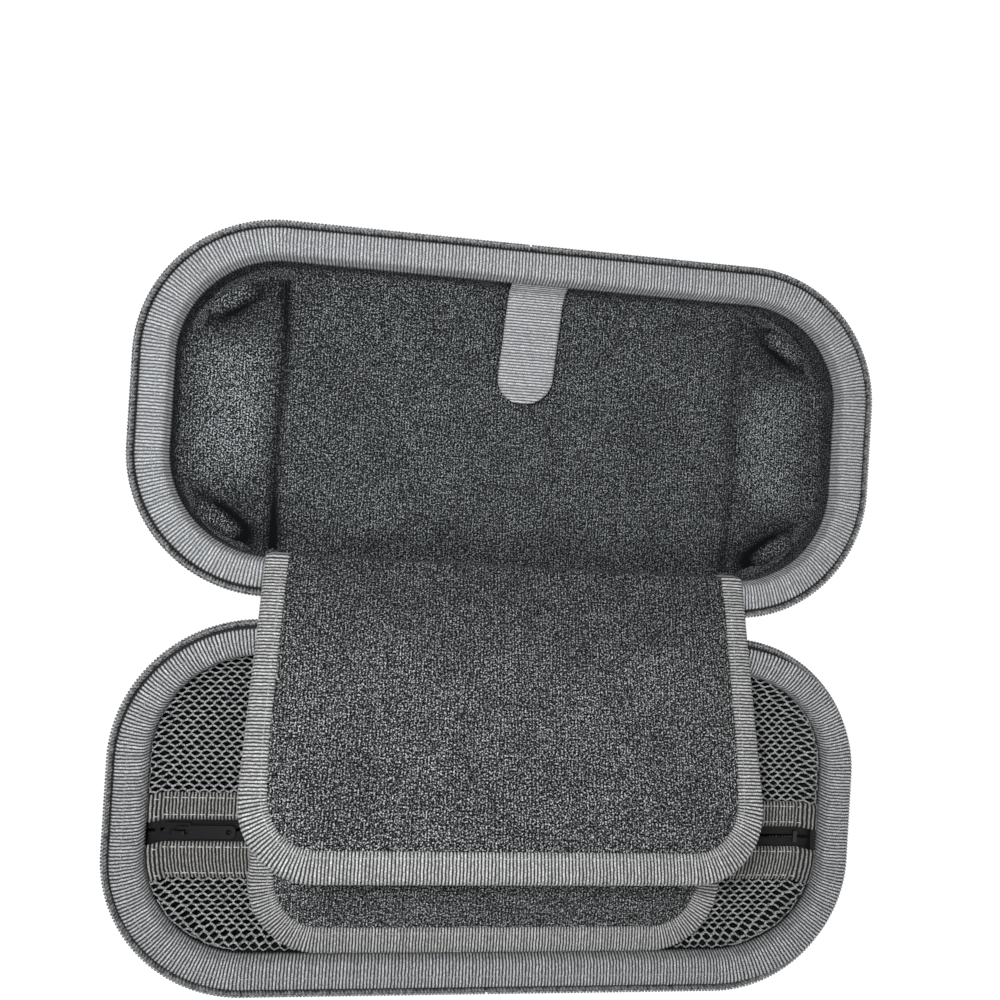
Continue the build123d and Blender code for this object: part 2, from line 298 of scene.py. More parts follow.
def mm_box(node):
    """A node's lowest and highest corners in millimetres."""
    return [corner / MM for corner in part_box(node)]


def joint_place(name):
    """Where a joint's axis passes, in millimetres."""
    found = next(joint for joint in frame["joints"] if joint["name"] == name)
    return Vector(found["pos_m"]) / MM


def smooth_step(low, high, value):
    """0 below low, 1 above high, and a smooth rise between."""
    share = min(1.0, max(0.0, (value - low) / (high - low)))
    return share * share * (3 - 2 * share)


class Half:
    """One half's rounded plan, read from its zip coil. facing is the way its front looks along Y."""

    def __init__(self, name, facing):
        low, high = mm_box(f"{name}_zip_coil")
        self.name = name
        self.facing = facing
        self.middle = (low.y + high.y) / 2
        self.core_x = (high.x - low.x) / 2 - corner_radius
        self.core_y = (high.y - low.y) / 2 - corner_radius
        self.edge_y = self.middle + facing * (high.y - low.y) / 2
        self.rim = mm_box(f"{name}_binding")[1].z
        self.shell_rim = mm_box(f"{name}_shell")[1].z
        self.floor = mm_box(f"{name}_lining")[0].z
        self.zip_end = mm_box(f"{name}_zip_stops")[1].x
        self.lean = base_lean if name == "base" else 0.0

    def core_point(self, x, y):
        """Nearest point of the rectangle whose corners are the centres of the round corners."""
        near_x = min(self.core_x, max(-self.core_x, x))
        near_y = min(self.core_y, max(-self.core_y, y - self.middle))
        return Vector((near_x, near_y + self.middle, 0))

    def inset(self, x, y):
        """Distance of a point inside the coil's outer edge, true outside the core rectangle."""
        core = self.core_point(x, y)
        return corner_radius - math.hypot(x - core.x, y - core.y)

    def reach_x(self, y, inset):
        """Half the plan's length at a given Y, drawn at that inset."""
        beyond = max(abs(y - self.middle) - self.core_y, 0.0)
        radius = corner_radius - inset
        return self.core_x + math.sqrt(max(radius * radius - beyond * beyond, 0.0))


class Page:
    """A padded page in its own frame: x across, y away from its seam, z out of its upper face."""

    def __init__(self, name, carrier, tilt, tail):
        self.name = name
        self.carrier = carrier
        self.pivot = joint_place(f"{name}_hinge")
        self.tilt = tilt
        self.tail = tail
        low, high = mm_box(f"{name}_binding")
        self.half_width = (high.x - low.x) / 2
        thick = page_binding_section[3][1]
        span = self.pivot.y - low.y - thick * math.sin(tilt)
        self.length = span / math.cos(tilt)
        rows = (
            (-1, 0, 0, self.pivot.x),
            (0, -math.cos(tilt), math.sin(tilt), self.pivot.y),
            (0, math.sin(tilt), math.cos(tilt), self.pivot.z),
            (0, 0, 0, 1),
        )
        self.matrix = Matrix(rows)

    def inset(self, x, y):
        """Distance of a point inside the page's bound edge."""
        side = self.half_width - abs(x)
        end = self.length - y
        if side < page_corner and end < page_corner:
            return page_corner - math.hypot(page_corner - side, page_corner - end)
        return min(side, end)

    def swell(self, x, y):
        """Slow rise and fall of the whole page."""
        run_x, run_y = page_hill_runs
        hills = page_hill * math.sin(x / run_x + page_hill_turn) * math.sin(y / run_y)
        return smooth_step(*page_swell_start, y) * (hills + page_bow * math.cos(x / page_bow_run))

    def place(self, point):
        """A point of the flat page, on the swelled page whose tail turns down into the seam."""
        x, y, z = point
        if y >= 0:
            return self.matrix @ Vector((x, y, z + self.swell(x, y)))
        most = math.pi / 2 - self.tilt
        turn = min(-y / page_bend, most)
        beyond = -y - turn * page_bend
        back = page_bend * math.sin(turn) + beyond * math.cos(turn) + z * math.sin(turn)
        down = page_bend * (1 - math.cos(turn)) + beyond * math.sin(turn) - z * math.cos(turn)
        return self.matrix @ Vector((x, -back, -down))

    def root(self, y):
        """Point of the page's middle line at a distance from its seam, in metres."""
        return self.matrix @ Vector((0, y, 0)) * MM


def sweep(section, edge_y, outward, moves):
    """Carries a closed section from the plane X = 0 along runs and turns.

    A move is its centre, its angle, its shift and its count of rings. A vertex keeps its row in the
    section and the number of its ring.
    """
    bm = bmesh.new()
    row = bm.verts.layers.int.new("row")
    ring = bm.verts.layers.int.new("ring")
    chain = [bm.verts.new((0, edge_y - outward * inset, z)) for inset, z in section]
    for number, vert in enumerate(chain):
        vert[row] = number
    geom = chain + [bm.edges.new(pair) for pair in zip(chain, chain[1:] + chain[:1])]
    count = 0
    for centre, angle, shift, rings in moves:
        for _ in range(rings):
            spun = bmesh.ops.spin(
                bm, geom=geom, cent=centre, axis=UP, angle=angle / rings, dvec=shift / rings, steps=1
            )
            geom = spun["geom_last"]
            count += 1
            for vert in geom:
                if isinstance(vert, bmesh.types.BMVert):
                    vert[ring] = count
    return bm


def face_out(bm):
    """Turns all faces outwards."""
    bmesh.ops.recalc_face_normals(bm, faces=bm.faces[:])


def cap(bm):
    """Closes a piece's open ends."""
    bmesh.ops.holes_fill(bm, edges=[edge for edge in bm.edges if edge.is_boundary], sides=0)


def mirror_piece(bm):
    """Adds the other side across X = 0 and turns all faces outwards."""
    whole = bm.verts[:] + bm.edges[:] + bm.faces[:]
    bmesh.ops.mirror(bm, geom=whole, matrix=Matrix(), merge_dist=1e-3, axis="X")
    face_out(bm)


def lay_uv(bm, place):
    """Gives each face corner the UV that place works out for its vertex."""
    uv = bm.loops.layers.uv.new("cloth")
    for face in bm.faces:
        for loop in face.loops:
            loop[uv].uv = place(loop.vert)


def section_lengths(section):
    """Distance along a section from its first point to each of its points."""
    lengths = [0.0]
    for (a, b), (c, d) in zip(section, section[1:]):
        lengths.append(lengths[-1] + math.hypot(c - a, d - b))
    return lengths


def lay_rib_uv(bm, section, per_rib):
    """UV of a ribbed tape: ribs counted along it, and millimetres across it."""
    row = bm.verts.layers.int["row"]
    ring = bm.verts.layers.int["ring"]
    across = section_lengths(section)
    lay_uv(bm, lambda vert: (vert[ring] / per_rib, across[vert[row]]))


def raise_ribs(bm, section, edges, hidden):
    """Waves a tape's rows in and out once a rib, most at its selvedges."""
    row = bm.verts.layers.int["row"]
    ring = bm.verts.layers.int["ring"]
    relief = [rib_relief] * len(section)
    for number in edges:
        relief[number] = selvedge_relief
    for number in hidden:
        relief[number] = 0.0
    bm.normal_update()
    for vert in bm.verts:
        wave = math.cos(2 * math.pi * vert[ring] / rings_per_rib)
        vert.co += vert.normal * (relief[vert[row]] * wave)


def make_piece(bm, name, material, nodes=()):
    """Finishes a bmesh as a piece of the case, in metres, standing for the nodes it replaces."""
    bmesh.ops.scale(bm, vec=(MM, MM, MM), verts=bm.verts[:])
    for face in bm.faces:
        face.smooth = True
    mesh = bpy.data.meshes.new(name)
    bm.to_mesh(mesh)
    bm.free()
    mesh.materials.append(material)
    piece = bpy.data.objects.new(name, mesh)
    bpy.context.scene.collection.objects.link(piece)
    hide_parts(*nodes)
    return piece


def repeat(unit, places):
    """One bmesh with a copy of the unit at each place, a matrix."""
    pattern = bpy.data.meshes.new("pattern")
    unit.to_mesh(pattern)
    unit.free()
    bm = bmesh.new()
    for place in places:
        copy = pattern.copy()
        copy.transform(place)
        bm.from_mesh(copy)
        bpy.data.meshes.remove(copy)
    bpy.data.meshes.remove(pattern)
    return bm


def join(first, second):
    """Adds the second bmesh's faces to the first."""
    mesh = bpy.data.meshes.new("joined")
    second.to_mesh(mesh)
    second.free()
    first.from_mesh(mesh)
    bpy.data.meshes.remove(mesh)
    return first


def lean_out(half, bm):
    """Leans the upper part of a half's right wall outwards, over its zip."""
    for vert in bm.verts:
        aside = smooth_step(half.core_x, half.core_x + lean_corner_share * corner_radius, vert.co.x)
        raised = smooth_step(half.floor + lean_foot, half.rim - lean_top, vert.co.z)
        vert.co.x += half.lean * aside * raised


def rim_rings(half, pitch, inset, per_rib):
    """Counts of rings along a long side's half, a corner and a short side, whole ribs in each."""
    arc = (corner_radius - inset) * math.pi / 2
    return [per_rib * max(1, round(run / pitch)) for run in (half.core_x, arc, 2 * half.core_y)]


def rim_moves(half, rings, stop_x=0.0):
    """Moves from the middle of a half's front edge to the middle of its hinge side, or to stop_x."""
    long_rings, corner_rings, short_rings = rings
    front = half.middle + half.facing * half.core_y
    back = half.middle - half.facing * half.core_y
    quarter = -half.facing * math.pi / 2
    last_rings = max(1, round(long_rings * (1 - stop_x / half.core_x)))
    return (
        (ZERO, 0, Vector((half.core_x, 0, 0)), long_rings),
        (Vector((half.core_x, front, 0)), quarter, ZERO, corner_rings),
        (ZERO, 0, Vector((0, back - front, 0)), short_rings),
        (Vector((half.core_x, back, 0)), quarter, ZERO, corner_rings),
        (ZERO, 0, Vector((stop_x - half.core_x, 0, 0)), last_rings),
    )


def walk(runs, pitch):
    """Places a pitch apart along a chain of runs: the run's number and the distance along it."""
    for number in range(int(sum(runs) / pitch)):
        left = (number + 0.5) * pitch
        leg = 0
        while left > runs[leg]:
            left -= runs[leg]
            leg += 1
        yield leg, left


def rim_spots(half, inset, z, pitch, stop_x=0.0):
    """Matrices of places round the rim, X along the rim and Y outwards, from the front's middle."""
    radius = corner_radius - inset
    arc = radius * math.pi / 2
    runs = (half.core_x, arc, 2 * half.core_y, arc, half.core_x - stop_x)
    places = []
    for leg, left in walk(runs, pitch):
        turn = left / radius
        ahead = radius * math.sin(turn)
        aside = radius * math.cos(turn)
        x, y, heading = (
            (left, half.core_y + radius, 0.0),
            (half.core_x + ahead, half.core_y + aside, -turn),
            (half.core_x + radius, half.core_y - left, -math.pi / 2),
            (half.core_x + aside, -half.core_y - ahead, -math.pi / 2 - turn),
            (half.core_x - left, -half.core_y - radius, -math.pi),
        )[leg]
        for side in (1, -1):
            angle = half.facing * heading if side > 0 else math.pi - half.facing * heading
            spot = Vector((side * x, half.middle + half.facing * y, z))
            places.append(Matrix.Translation(spot) @ Matrix.Rotation(angle, 4, "Z"))
    return places


def stitch(size):
    """One stitch: a bead of thread drawn out along the seam."""
    bm = bmesh.new()
    bmesh.ops.create_uvsphere(bm, u_segments=6, v_segments=4, radius=0.5)
    bmesh.ops.rotate(bm, cent=ZERO, matrix=Matrix.Rotation(math.pi / 2, 3, "Y"), verts=bm.verts)
    bmesh.ops.scale(bm, vec=size, verts=bm.verts)
    return bm


def rim_binding(half, profile, material, thread):
    """Grosgrain tape folded over the rim, with the row of stitches that holds it."""
    section = [(inset, half.rim + rise) for inset, rise in profile]
    rings = rim_rings(half, rib_pitch, binding_middle, rings_per_rib)
    bm = sweep(section, half.edge_y, half.facing, rim_moves(half, rings))
    lay_rib_uv(bm, profile, rings_per_rib)
    mirror_piece(bm)
    raise_ribs(bm, section, binding_edges, binding_hidden)
    lean_out(half, bm)
    piece = make_piece(bm, f"{half.name}_rim_binding", material, [f"{half.name}_binding"])
    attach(piece, half.name)
    inset, height = section[rim_stitch_row]
    places = rim_spots(half, inset, height, stitch_pitch)
    bm = repeat(stitch(stitch_size), places)
    lean_out(half, bm)
    stitches = make_piece(bm, f"{half.name}_rim_stitching", thread)
    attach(stitches, half.name)


def coil_turn(radius, wire, pitch):
    """One turn of a zip's nylon coil about the X axis, flattened."""
    bm = bmesh.new()
    start = Matrix.Translation((0, radius, 0)) @ Matrix.Diagonal((coil_wire_stretch, 1, 1, 1))
    bmesh.ops.create_circle(bm, cap_ends=False, segments=wire_sides, radius=wire, matrix=start)
    bmesh.ops.spin(
        bm, geom=bm.verts[:] + bm.edges[:], cent=ZERO, axis=(1, 0, 0), angle=2 * math.pi,
        dvec=(pitch / coil_steps, 0, 0), steps=coil_steps,
    )
    bmesh.ops.scale(bm, vec=(1, 1, coil_flatness), verts=bm.verts)
    return bm


def rim_zip(half, tape_material, coil_material, thread):
    """This half's zip tape, dipping under the coil, the coil wound on its core, and its chain stitch."""
    section = [(inset, half.rim + rise) for inset, rise in tape_section]
    rings = rim_rings(half, tape_ring, coil_inset, 1)
    bm = sweep(section, half.edge_y, half.facing, rim_moves(half, rings, half.zip_end))
    lay_rib_uv(bm, tape_section, 1 / tape_ring)
    mirror_piece(bm)
    cap(bm)
    tape = make_piece(bm, f"{half.name}_zip_ribbon", tape_material, [f"{half.name}_zip_tape"])
    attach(tape, half.name)

    low, high = mm_box(f"{half.name}_zip_coil")
    height = (low.z + high.z) / 2
    places = rim_spots(half, coil_inset, height, coil_pitch, half.zip_end)
    bm = repeat(coil_turn(coil_radius, coil_wire, coil_pitch), places)
    bmesh.ops.remove_doubles(bm, verts=bm.verts, dist=coil_wire / 4)
    sides = [2 * math.pi * number / 6 for number in range(6)]
    core = [(coil_inset + core_radius * math.cos(a), height + core_radius * math.sin(a)) for a in sides]
    filler = sweep(core, half.edge_y, half.facing, rim_moves(half, rings, half.zip_end))
    mirror_piece(filler)
    cap(filler)
    bm = join(bm, filler)
    face_out(bm)
    coil = make_piece(bm, f"{half.name}_zip_teeth", coil_material, [f"{half.name}_zip_coil"])
    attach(coil, half.name)
    places = rim_spots(half, coil_inset, high.z, chain_pitch, half.zip_end)
    chain = make_piece(repeat(stitch(chain_size), places), f"{half.name}_zip_stitching", thread)
    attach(chain, half.name)


def bed_marks(half, x, y):
    """Rise of the lid's bed at a point, and the painted shade of its knit there, painted light where below
    0.

    The marks are two creases, a ridge in a recess at each corner and a soft swell at each end. Those
    on the right are fainter.
    """
    length = half.core_x + corner_radius
    width = half.core_y + corner_radius
    across = y - half.middle
    strength = 1.0 if x < 0 else right_share
    crease_x = length - crease_from_end
    off = (abs(x) - crease_x + crease_wander * math.sin(y / crease_wander_run)) / crease_width
    crease = strength * math.exp(-off * off)
    dx = x - math.copysign(length - ridge_from_end, x)
    dy = across - math.copysign(width - ridge_from_side, across)
    turn = -math.copysign(ridge_angle, x * across)
    along = (dx * math.cos(turn) + dy * math.sin(turn)) / ridge_half_length
    wide = (dy * math.cos(turn) - dx * math.sin(turn)) / ridge_half_width
    reach = (along ** 4 + wide ** 4) ** 0.25
    ridge = math.exp(-reach ** 6)
    moat = math.exp(-((reach - moat_reach) / moat_width) ** 2)
    recess = math.exp(-(dx * dx + dy * dy) / ridge_recess ** 2) * (1 - ridge)
    near, far = swell_from_crease
    swell = (1.0 if x < 0 else swell_right_share) * smooth_step(crease_x + near, crease_x + far, abs(x))
    near, far = swell_from_end
    ends = 1 - smooth_step(length - near, length - far, abs(x))
    swell *= ends * (1 - smooth_step(*swell_from_middle, abs(across)))
    run_x, run_y = bed_wave_runs
    slow = bed_wave * math.sin(x / run_x) * math.sin(y / run_y + bed_wave_turn)
    rise = slow - crease_depth * crease + ridge_height * ridge - ridge_moat * moat
    rise = rise - recess_depth * recess + swell_height * swell
    # Painted shade along the hinge-side wall's foot and in the creases, moats and recesses; painted light on
    # ridges and swells
    foot = foot_shade * (1 - smooth_step(*foot_run, across + width))
    painted_dark = crease_shade * crease + moat_shade * moat + recess_shade * recess + foot
    return rise, painted_dark - ridge_highlight * ridge - swell_highlight * swell


def lining_section(half, bed):
    """Section of a lining from a corner's centre: bed, round edge, wall, lip, outside and underside."""
    top = half.shell_rim - lining_lip_drop
    slope = math.tan(wall_draft)
    foot = lining_inset + (top - bed) * slope + bed_edge_radius * (1 - slope)
    steps = round((corner_radius - foot) / lining_cell)
    section = [(corner_radius - (corner_radius - foot) * k / steps, bed) for k in range(steps + 1)]
    for k in range(1, bed_edge_steps):
        turn = math.pi / 2 * k / bed_edge_steps
        reach = bed_edge_radius * math.sin(turn)
        section.append((foot - reach, bed + bed_edge_radius * (1 - math.cos(turn))))
    wall_foot = bed + bed_edge_radius
    for k in range(wall_rows + 1):
        z = wall_foot + (top - wall_foot) * k / wall_rows
        section.append((lining_inset + (top - z) * slope, z))
    visible = len(section)
    outer_foot = lining_outer_inset + (top - bed) * slope
    section += [(lining_outer_inset, top), (outer_foot, bed + bed_edge_radius)]
    section += [(foot, half.floor), (corner_radius, half.floor)]
    return section, visible


def lining(half, bed, material, marks):
    """Knit lining moulded into the shell, its knit running straight across the bed and up the walls."""
    section, visible = lining_section(half, bed)
    rings = rim_rings(half, lining_cell, lining_ring_inset, 1)
    bm = sweep(section, half.edge_y, half.facing, rim_moves(half, rings))
    mirror_piece(bm)
    row = bm.verts.layers.int["row"]
    size = Matrix.Diagonal((half.core_x, half.core_y, 1, 1))
    for level, number in ((bed, 0), (half.floor, len(section) - 1)):
        place = Matrix.Translation((0, half.middle, level)) @ size
        made = bmesh.ops.create_grid(bm, x_segments=2 * rings[0], y_segments=rings[2], size=1, matrix=place)
        for vert in made["verts"]:
            vert[row] = number
    bmesh.ops.remove_doubles(bm, verts=bm.verts, dist=1e-3)
    face_out(bm)
    lengths = section_lengths(section)

    def unfolded(vert):
        core = half.core_point(vert.co.x, vert.co.y)
        away = Vector((vert.co.x, vert.co.y, 0)) - core
        flat = core + away.normalized() * lengths[vert[row]] if away.length > 1e-4 else core
        return flat.x, flat.y

    lay_uv(bm, unfolded)
    # Painted shade of the knit from the bed's marks, painted light where below 0, and painted shade up the
    # end walls
    painted_shading = bm.verts.layers.float.new("painted_shading")
    if marks:
        for vert in bm.verts:
            fade = 1 - smooth_step(bed + marks_fade[0], bed + marks_fade[1], vert.co.z)
            end_wall = (1 - fade) * smooth_step(half.core_x, half.core_x + end_wall_run, abs(vert.co.x))
            if vert[row] < visible:
                rise, painted_shade = bed_marks(half, vert.co.x, vert.co.y)
                vert.co.z += fade * rise
                vert[painted_shading] = fade * painted_shade + end_wall_shade * end_wall
    lean_out(half, bm)
    piece = make_piece(bm, f"{half.name}_knit_lining", material, [f"{half.name}_lining"])
    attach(piece, half.name)


def round_corner(x, y, half_width, length, radius):
    """Moves a point of a square-cornered sheet onto one whose two far corners are round."""
    dx = abs(x) - (half_width - radius)
    dy = y - (length - radius)
    if dx <= 0 or dy <= 0:
        return x, y
    shrink = max(dx, dy) / math.hypot(dx, dy)
    return math.copysign(half_width - radius + dx * shrink, x), length - radius + dy * shrink


def sheet_grid(half_width, start, length, columns, rows):
    """Two-sided flat sheet: rows run along x, with a lower face, an upper face and a closed edge.

    Returns the bmesh, which has room for the painted shade of its knit, and the set of its upper vertices.
    """
    bm = bmesh.new()
    # Room for painted shade on the knit
    bm.verts.layers.float.new("painted_shading")
    centre = Matrix.Translation((0, (start + length) / 2, 0))
    size = Matrix.Diagonal((half_width, (length - start) / 2, 1, 1))
    bmesh.ops.create_grid(bm, x_segments=columns, y_segments=rows, size=1, matrix=centre @ size)
    lifted = bmesh.ops.extrude_face_region(bm, geom=bm.faces[:], use_keep_orig=True)
    upper = {item for item in lifted["geom"] if isinstance(item, bmesh.types.BMVert)}
    face_out(bm)
    return bm, upper


def page_half_thickness(page, x, y):
    """Half the pad's thickness: thin under the binding and at the root, full and crowned between."""
    inset = page.inset(x, y)
    foam = page_edge_half + (page_foam_half - page_edge_half) * smooth_step(*page_foam_run, inset)
    bow = math.sin(math.pi * smooth_step(0, page.length, y))
    crown = page_crown * (1 - (x / page.half_width) ** 2) * bow
    return page_root_half + (foam + max(crown, 0.0) - page_root_half) * smooth_step(*page_root_run, y)


def page_pad(page, material):
    """The page's foam pad in knit cloth, sewn in at its tail."""
    half_width = page.half_width - page_skin
    length = page.length - page_skin
    columns = round(2 * half_width / page_cell)
    rows = round((length + page.tail) / page_cell)
    bm, upper = sheet_grid(half_width, -page.tail, length, columns, rows)
    corner = page_corner - page_skin
    for vert in bm.verts:
        vert.co.x, vert.co.y = round_corner(vert.co.x, vert.co.y, half_width, length, corner)
    lay_uv(bm, lambda vert: (vert.co.x, vert.co.y))
    painted_shading = bm.verts.layers.float["painted_shading"]
    for vert in bm.verts:
        side = 1 if vert in upper else -1
        x, y, _ = vert.co
        # Painted shade on the page's knit, darkest at its seam
        vert[painted_shading] = page_root_shade * (1 - smooth_step(*page_root_shade_run, y))
        vert.co = page.place((x, y, side * page_half_thickness(page, x, y)))
    face_out(bm)
    piece = make_piece(bm, f"{page.name}_pad", material, [f"{page.name}_panel"])
    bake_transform(piece, page.carrier, page.name, page.root(0), page.root(page_fold))


def draw_out(page, point):
    """Moves a point of the page's binding outwards along the sides, where less tape shows than in front.

    Towards the seam the binding is squeezed thin with the pad.
    """
    inset = page.inset(point.x, point.y)
    first, last = page_shift_end
    share = smooth_step(*page_shift_run, inset)
    share *= 1 - smooth_step(page.length - first, page.length - last, point.y)
    thin = page_root_share + (1 - page_root_share) * smooth_step(*page_root_run, point.y)
    return Vector((point.x + math.copysign(page_side_shift * share, point.x), point.y, point.z * thin))


def page_edging(page, material, thread):
    """Grosgrain tape bound round the page's two sides and its free edge, and its stitches."""
    straight = page.half_width - page_corner
    down = page.length - page_corner + page.tail
    arc = (page_corner - page_tape_middle) * math.pi / 2
    counts = [rings_per_rib * round(run / page_rib_pitch) for run in (straight, arc, down)]
    moves = (
        (ZERO, 0, Vector((straight, 0, 0)), counts[0]),
        (Vector((straight, page.length - page_corner, 0)), -math.pi / 2, ZERO, counts[1]),
        (ZERO, 0, Vector((0, -down, 0)), counts[2]),
    )
    bm = sweep(page_binding_section, page.length, 1, moves)
    lay_rib_uv(bm, page_binding_section, rings_per_rib)
    mirror_piece(bm)
    cap(bm)
    raise_ribs(bm, page_binding_section, page_binding_edges, page_binding_hidden)
    for vert in bm.verts:
        vert.co = page.place(draw_out(page, vert.co))
    face_out(bm)
    piece = make_piece(bm, f"{page.name}_edging", material, [f"{page.name}_binding"])
    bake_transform(piece, page.carrier, page.name, page.root(0), page.root(page_fold))

    bm = repeat(stitch(stitch_size), page_stitch_places(page))
    for vert in bm.verts:
        vert.co = page.place(draw_out(page, vert.co))
    face_out(bm)
    stitches = make_piece(bm, f"{page.name}_stitching", thread)
    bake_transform(stitches, page.carrier, page.name, page.root(0), page.root(page_fold))


def page_stitch_places(page):
    """Places of the stitches along a page's binding, on both faces, in the flat page."""
    radius = page_corner - page_stitch_inset
    straight = page.half_width - page_corner
    end = page.length - page_corner
    runs = (straight, radius * math.pi / 2, end - page_stitch_stop)
    places = []
    for leg, left in walk(runs, stitch_pitch):
        turn = left / radius
        x, y, heading = (
            (left, page.length - page_stitch_inset, 0.0),
            (straight + radius * math.sin(turn), end + radius * math.cos(turn), -turn),
            (straight + radius, end - left, -math.pi / 2),
        )[leg]
        for side in (1, -1):
            for face in (1, -1):
                angle = heading if side > 0 else math.pi - heading
                spot = Vector((side * x, y, face * page_stitch_rise))
                places.append(Matrix.Translation(spot) @ Matrix.Rotation(angle, 4, "Z"))
    return places


def pocket_rise(half, point, lift=pocket_lift):
    """How far the pocket's front climbs the tray's wall, to its seam under the rim binding."""
    return lift * (1 - smooth_step(net_inset, pocket_flat_inset, half.inset(point.x, point.y)))


def net_panel(half, name, y_low, y_high, material):
    """Knitted net of six-sided holes, sewn in at the tray's wall and under the pocket's bands."""
    node = f"pocket_mesh_{name}"
    low, high = mm_box(node)
    level = (low.z + high.z) / 2
    bm = bmesh.new()
    columns = int(half.core_x + corner_radius) // int(net_pitch_x) + 1
    rows = int((y_high - y_low) / net_pitch_y) + 2
    corners = (
        (net_corner_x, net_corner_y), (0, net_tip_y), (-net_corner_x, net_corner_y),
        (-net_corner_x, -net_corner_y), (0, -net_tip_y), (net_corner_x, -net_corner_y),
    )
    for shift_x, shift_y in ((0, 0), (net_pitch_x / 2, net_pitch_y / 2)):
        start_x = shift_x - columns * net_pitch_x
        cell = [bm.verts.new((start_x + x, y_low + shift_y + y, 0)) for x, y in corners]
        line = [bm.faces.new(cell)] + cell
        bmesh.ops.spin(
            bm, geom=line, cent=ZERO, axis=UP, angle=0, dvec=(net_pitch_x, 0, 0), steps=2 * columns,
            use_duplicate=True,
        )
        row_geom = [f for f in bm.faces if abs(f.calc_center_median().y - y_low - shift_y) < 0.1]
        bmesh.ops.spin(
            bm, geom=row_geom, cent=ZERO, axis=UP, angle=0, dvec=(0, net_pitch_y, 0), steps=rows,
            use_duplicate=True,
        )
    bmesh.ops.remove_doubles(bm, verts=bm.verts, dist=net_weld)
    outside = []
    for face in bm.faces:
        middle = face.calc_center_median()
        if half.inset(middle.x, middle.y) < net_inset - net_margin or not y_low <= middle.y <= y_high:
            outside.append(face)
    bmesh.ops.delete(bm, geom=outside, context="FACES")
    for vert in bm.verts:
        short = net_inset - half.inset(vert.co.x, vert.co.y)
        if short > 0:
            core = half.core_point(vert.co.x, vert.co.y)
            vert.co -= (vert.co - core).normalized() * short
        vert.co.x += net_wobble[0] * math.sin(vert.co.y * 0.9 + vert.co.x * 0.35)
        vert.co.y += net_wobble[1] * math.sin(vert.co.x * 0.7 - vert.co.y * 0.4)
    crest = set(bm.verts)
    bmesh.ops.inset_individual(bm, faces=bm.faces[:], thickness=net_strand, use_even_offset=True)
    holes = [face for face in bm.faces if not crest.intersection(face.verts)]
    bmesh.ops.delete(bm, geom=holes, context="FACES_ONLY")
    face_out(bm)
    if sum(face.normal.z for face in bm.faces) < 0:
        bmesh.ops.reverse_faces(bm, faces=bm.faces[:])
    for vert in bm.verts:
        vert.co.z = level + (net_crest if vert in crest else 0.0) + pocket_rise(half, vert.co)
        run_x, run_y = net_sag_runs
        vert.co.z += net_sag * math.sin(vert.co.x / run_x) * math.sin(vert.co.y / run_y)
    bmesh.ops.solidify(bm, geom=bm.faces[:], thickness=net_thickness)
    lay_uv(bm, lambda vert: (vert.co.x, vert.co.y))
    lean_out(half, bm)
    piece = make_piece(bm, f"pocket_net_{name}", material, [node])
    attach(piece, half.name)


def pocket_band(half, name, material, thread):
    """Grosgrain band along the pocket zip, with two rows of stitches."""
    node = f"pocket_band_{name}"
    low, high = mm_box(node)
    columns = rings_per_rib * round(high.x * 2 / band_pitch)
    width = high.y - low.y
    bm, upper = sheet_grid(high.x, low.y, high.y, columns, band_rows)
    uv_scale = 1 / band_pitch
    lay_uv(bm, lambda vert: (vert.co.x * uv_scale, vert.co.y - low.y))
    for vert in bm.verts:
        share = vert.co.x / high.x
        edge = min(vert.co.y - low.y, high.y - vert.co.y)
        wave = math.cos(2 * math.pi * vert.co.x * uv_scale)
        face = high.z - band_edge_drop * (1 - smooth_step(0, band_edge_run, edge)) + band_relief * wave
        vert.co.x = share * half.reach_x(vert.co.y, net_inset - net_margin)
        vert.co.y += band_selvedge * wave * (1 if vert.co.y > low.y + width / 2 else -1) * (edge < 0.1)
        vert.co.z = (face if vert in upper else low.z) + pocket_rise(half, vert.co)
    lean_out(half, bm)
    piece = make_piece(bm, f"pocket_ribbon_{name}", material, [node])
    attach(piece, half.name)
    places = []
    for y in (low.y + band_stitch_edge, high.y - band_stitch_edge):
        reach = half.reach_x(y, net_inset + 1)
        for number in range(int(2 * reach / stitch_pitch)):
            x = (number + 0.5) * stitch_pitch - reach
            lift = pocket_rise(half, Vector((x, y, 0)))
            places.append(Matrix.Translation((x, y, high.z + band_stitch_rise + lift)))
    bm = repeat(stitch(stitch_size), places)
    lean_out(half, bm)
    stitches = make_piece(bm, f"pocket_stitching_{name}", thread)
    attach(stitches, half.name)


def pocket_zip(half, name, tape_material, coil_material):
    """One side of the pocket zip: its tape, and the coil row sewn under the tape's edge."""
    node = f"pocket_zip_tape_{name}"
    low, high = mm_box(node)
    bm, upper = sheet_grid(half.reach_x(low.y, net_inset), low.y, high.y, *pocket_tape_cells)
    lay_uv(bm, lambda vert: (vert.co.x, vert.co.y))
    for vert in bm.verts:
        edge = min(vert.co.y - low.y, high.y - vert.co.y)
        face = low.z + pocket_tape_under
        if vert in upper:
            face = high.z - pocket_tape_edge * (1 - smooth_step(0, pocket_tape_edge_run, edge))
        vert.co.z = face + pocket_rise(half, vert.co, pocket_tape_lift)
    lean_out(half, bm)
    tape = make_piece(bm, f"pocket_ribbon_tape_{name}", tape_material, [node])
    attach(tape, half.name)
    node = f"pocket_zip_coil_{name}"
    low, high = mm_box(node)
    spot = Vector((0, (low.y + high.y) / 2, (low.z + high.z) / 2))
    pitch = pocket_coil_pitch
    count = int(2 * high.x / pitch)
    places = [Matrix.Translation(spot + Vector((low.x + pitch * k, 0, 0))) for k in range(count)]
    bm = repeat(coil_turn(pocket_coil_radius, pocket_coil_wire, pitch), places)
    bmesh.ops.remove_doubles(bm, verts=bm.verts, dist=net_weld)
    cap(bm)
    face_out(bm)
    coil = make_piece(bm, f"pocket_teeth_{name}", coil_material, [node])
    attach(coil, half.name)


